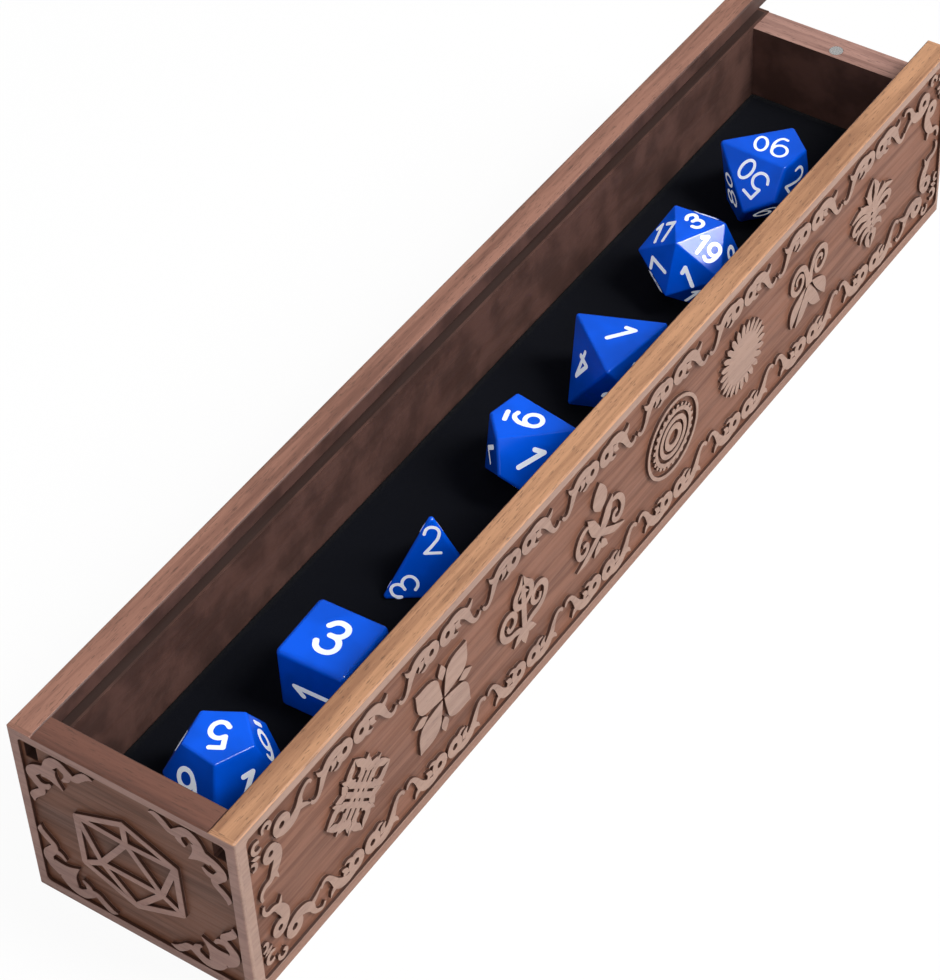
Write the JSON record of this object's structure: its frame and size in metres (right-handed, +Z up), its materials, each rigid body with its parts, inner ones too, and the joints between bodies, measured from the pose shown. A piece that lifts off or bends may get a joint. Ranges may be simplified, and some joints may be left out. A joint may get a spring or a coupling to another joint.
{
  "type": "dice storage chest",
  "caption": "Long wooden chest with carved walls, a felt-lined well, a grooved sliding lid held by magnets, and a set of polyhedral dice.",
  "frame": {"origin": "centre of the chest's underside", "axes": "+Z up, +Y along the chest towards the end where the lid slides out, +X towards the long side seen in the picture"},
  "size_m": [0.0534, 0.611, 0.0475],
  "materials": {
    "walnut_tan": "oiled walnut, carved by laser",
    "walnut_brown": "oiled walnut, carved by laser",
    "walnut_end": "oiled walnut, carved by laser",
    "base_wood": "plain sanded wood",
    "lid_wood": "oiled walnut",
    "foam_black": "closed-cell foam",
    "felt_black": "matt felt",
    "magnet_nickel": "nickel plate",
    "die_blue": "tumbled, polished"
  },
  "bodies": {
    "chest": {"left_side_wall": "walnut_brown", "right_side_wall": "walnut_tan", "near_end_wall": "walnut_end", "far_end_wall": "walnut_end", "base_panel": "base_wood", "foam_pad": "foam_black", "felt_liner": "felt_black", "end_magnet": "magnet_nickel"},
    "lid": {"lid_panel": "lid_wood", "lid_magnet": "magnet_nickel"},
    "die_d12_body": {"die_d12": "die_blue"},
    "die_d6_body": {"die_d6": "die_blue"},
    "die_d4_body": {"die_d4": "die_blue"},
    "die_d10_body": {"die_d10": "die_blue"},
    "die_d8_body": {"die_d8": "die_blue"},
    "die_d20_body": {"die_d20": "die_blue"},
    "die_percentile_body": {"die_percentile": "die_blue"}
  },
  "joints": [
    {"name": "lid_slide", "type": "slide", "parent": "chest", "child": "lid", "axis": [0, 1, 0], "range_m": [-0.34095, 0]},
    {"name": "die_d12_lift", "type": "slide", "parent": "chest", "child": "die_d12_body", "axis": [0, 0, 1], "range_m": [0, 0.06]},
    {"name": "die_d6_lift", "type": "slide", "parent": "chest", "child": "die_d6_body", "axis": [0, 0, 1], "range_m": [0, 0.06]},
    {"name": "die_d4_lift", "type": "slide", "parent": "chest", "child": "die_d4_body", "axis": [0, 0, 1], "range_m": [0, 0.06]},
    {"name": "die_d10_lift", "type": "slide", "parent": "chest", "child": "die_d10_body", "axis": [0, 0, 1], "range_m": [0, 0.06]},
    {"name": "die_d8_lift", "type": "slide", "parent": "chest", "child": "die_d8_body", "axis": [0, 0, 1], "range_m": [0, 0.06]},
    {"name": "die_d20_lift", "type": "slide", "parent": "chest", "child": "die_d20_body", "axis": [0, 0, 1], "range_m": [0, 0.06]},
    {"name": "die_percentile_lift", "type": "slide", "parent": "chest", "child": "die_percentile_body", "axis": [0, 0, 1], "range_m": [0, 0.06]}
  ]
}
